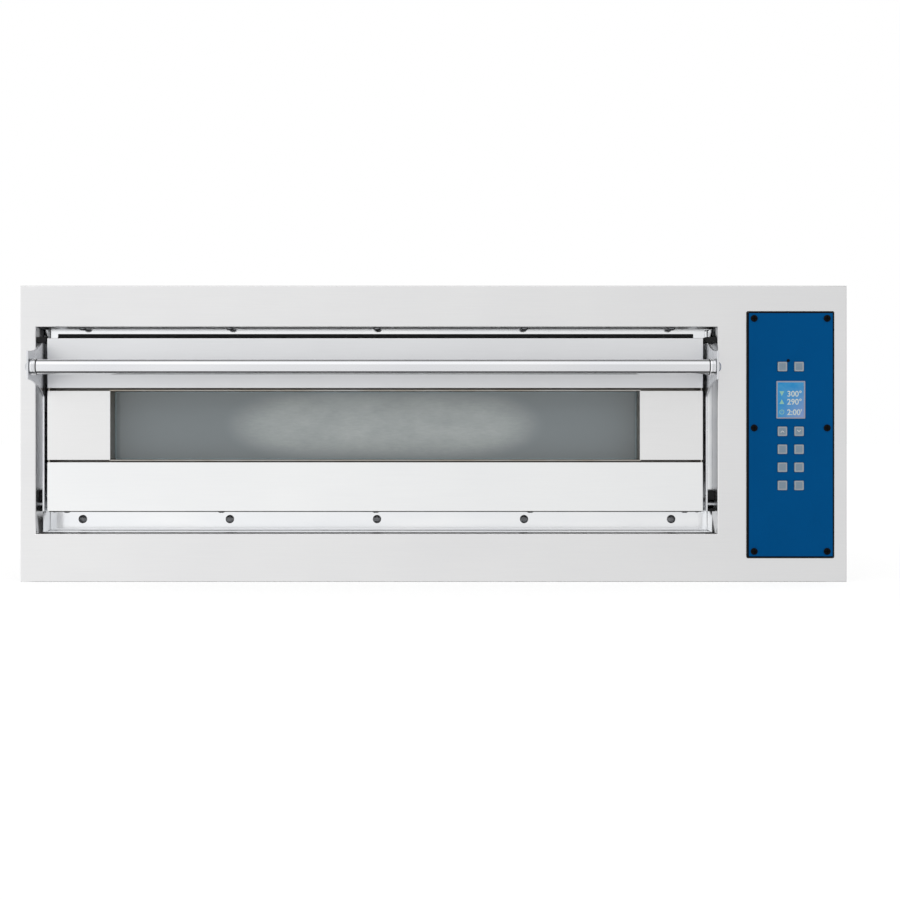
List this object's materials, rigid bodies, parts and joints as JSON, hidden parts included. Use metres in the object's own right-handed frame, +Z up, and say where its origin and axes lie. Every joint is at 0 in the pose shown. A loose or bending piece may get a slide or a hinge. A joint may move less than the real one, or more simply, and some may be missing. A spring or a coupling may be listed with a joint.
{
  "type": "deck oven",
  "caption": "Stainless single deck baking oven with a drop-down glazed door, tubular handle, stone-floored chamber and a right-hand push-key control panel.",
  "frame": {"origin": "centre of the flat underside of the base pan", "axes": "+X to the right of a person facing the door, -Y towards that person, +Z up"},
  "size_m": [1.2, 1.028, 0.43],
  "materials": {
    "brushed_stainless": "fine satin stainless sheet",
    "polished_stainless": "mirror polished stainless",
    "dark_steel": "heat-darkened steel sheet",
    "zinc_steel": "galvanised sheet",
    "spring_steel": "oiled spring wire",
    "mineral_wool": "mineral wool slab",
    "refractory_stone": "cast refractory",
    "heater_sheath": "annealed heater sheath",
    "coated_glass": "heat-reflecting toughened glass",
    "black_rubber": "matt silicone rubber",
    "blue_enamel": "satin blue coating",
    "grey_key": "grey moulded key",
    "display_bezel": "pale grey display frame",
    "black_plastic": "glass-filled moulding",
    "green_board": "solder-masked board",
    "nickel_brass": "nickel plated"
  },
  "bodies": {
    "casing": {"front_fascia": "brushed_stainless", "mouth_frame": "polished_stainless", "base_pan": "zinc_steel", "top_cover": "brushed_stainless", "left_side_panel": "brushed_stainless", "right_side_panel": "brushed_stainless", "rear_panel": "brushed_stainless", "chamber_liner": "dark_steel", "insulation_jacket": "mineral_wool", "mouth_seal": "black_rubber", "baking_stone_left": "refractory_stone", "baking_stone_right": "refractory_stone", "stone_rail_front": "dark_steel", "stone_rail_rear": "dark_steel", "upper_heater": "heater_sheath", "lower_heater": "heater_sheath", "lamp_housing": "zinc_steel", "lamp_glass": "coated_glass", "upper_probe": "polished_stainless", "lower_probe": "polished_stainless", "steam_outlet": "polished_stainless", "bay_partition": "zinc_steel", "relay_block": "black_plastic", "cooling_fan_frame": "black_plastic", "cable_gland": "nickel_brass", "control_gasket": "black_rubber", "control_panel_plate": "blue_enamel", "display_module": "display_bezel", "control_board": "green_board", "hinge_bearing_left": "black_plastic", "hinge_bearing_right": "black_plastic", "balance_spring_left": "spring_steel", "balance_spring_right": "spring_steel"},
    "door": {"door_frame": "dark_steel", "door_inner_panel": "polished_stainless", "door_upper_panel": "brushed_stainless", "door_lower_panel": "brushed_stainless", "door_infill_left": "brushed_stainless", "door_infill_right": "brushed_stainless", "door_outer_glass": "coated_glass", "door_inner_glass": "coated_glass", "door_top_seal": "black_rubber", "door_cheek_left": "polished_stainless", "door_cheek_right": "polished_stainless", "handle_tube": "polished_stainless", "handle_bolt_left": "polished_stainless", "handle_bolt_right": "polished_stainless", "hinge_pin_left": "polished_stainless", "hinge_pin_right": "polished_stainless"},
    "fan": {"fan_rotor": "black_plastic"},
    "key_top_left": {"key_top_left": "grey_key"},
    "key_top_right": {"key_top_right": "grey_key"},
    "key_upper_left": {"key_upper_left": "grey_key"},
    "key_upper_right": {"key_upper_right": "grey_key"},
    "key_middle_left": {"key_middle_left": "grey_key"},
    "key_middle_right": {"key_middle_right": "grey_key"},
    "key_lower_left": {"key_lower_left": "grey_key"},
    "key_lower_right": {"key_lower_right": "grey_key"},
    "key_bottom_left": {"key_bottom_left": "grey_key"},
    "key_bottom_right": {"key_bottom_right": "grey_key"}
  },
  "joints": [
    {"name": "door_hinge", "type": "hinge", "parent": "casing", "child": "door", "pos_m": [-0.08475, -0.415, 0.112], "axis": [1, 0, 0], "range_deg": [0, 82], "stiffness_Nm_per_rad": 4, "springref_deg": -28.65},
    {"name": "fan_spin", "type": "hinge", "parent": "casing", "child": "fan", "pos_m": [0.525, 0.4315, 0.34], "axis": [0, 1, 0], "continuous": true},
    {"name": "key_top_left_press", "type": "slide", "parent": "casing", "child": "key_top_left", "axis": [0, 1, 0], "range_m": [0, 0.0006], "stiffness_N_per_m": 300, "springref_m": -0.001},
    {"name": "key_top_right_press", "type": "slide", "parent": "casing", "child": "key_top_right", "axis": [0, 1, 0], "range_m": [0, 0.0006], "stiffness_N_per_m": 300, "springref_m": -0.001},
    {"name": "key_upper_left_press", "type": "slide", "parent": "casing", "child": "key_upper_left", "axis": [0, 1, 0], "range_m": [0, 0.0006], "stiffness_N_per_m": 300, "springref_m": -0.001},
    {"name": "key_upper_right_press", "type": "slide", "parent": "casing", "child": "key_upper_right", "axis": [0, 1, 0], "range_m": [0, 0.0006], "stiffness_N_per_m": 300, "springref_m": -0.001},
    {"name": "key_middle_left_press", "type": "slide", "parent": "casing", "child": "key_middle_left", "axis": [0, 1, 0], "range_m": [0, 0.0006], "stiffness_N_per_m": 300, "springref_m": -0.001},
    {"name": "key_middle_right_press", "type": "slide", "parent": "casing", "child": "key_middle_right", "axis": [0, 1, 0], "range_m": [0, 0.0006], "stiffness_N_per_m": 300, "springref_m": -0.001},
    {"name": "key_lower_left_press", "type": "slide", "parent": "casing", "child": "key_lower_left", "axis": [0, 1, 0], "range_m": [0, 0.0006], "stiffness_N_per_m": 300, "springref_m": -0.001},
    {"name": "key_lower_right_press", "type": "slide", "parent": "casing", "child": "key_lower_right", "axis": [0, 1, 0], "range_m": [0, 0.0006], "stiffness_N_per_m": 300, "springref_m": -0.001},
    {"name": "key_bottom_left_press", "type": "slide", "parent": "casing", "child": "key_bottom_left", "axis": [0, 1, 0], "range_m": [0, 0.0006], "stiffness_N_per_m": 300, "springref_m": -0.001},
    {"name": "key_bottom_right_press", "type": "slide", "parent": "casing", "child": "key_bottom_right", "axis": [0, 1, 0], "range_m": [0, 0.0006], "stiffness_N_per_m": 300, "springref_m": -0.001}
  ]
}
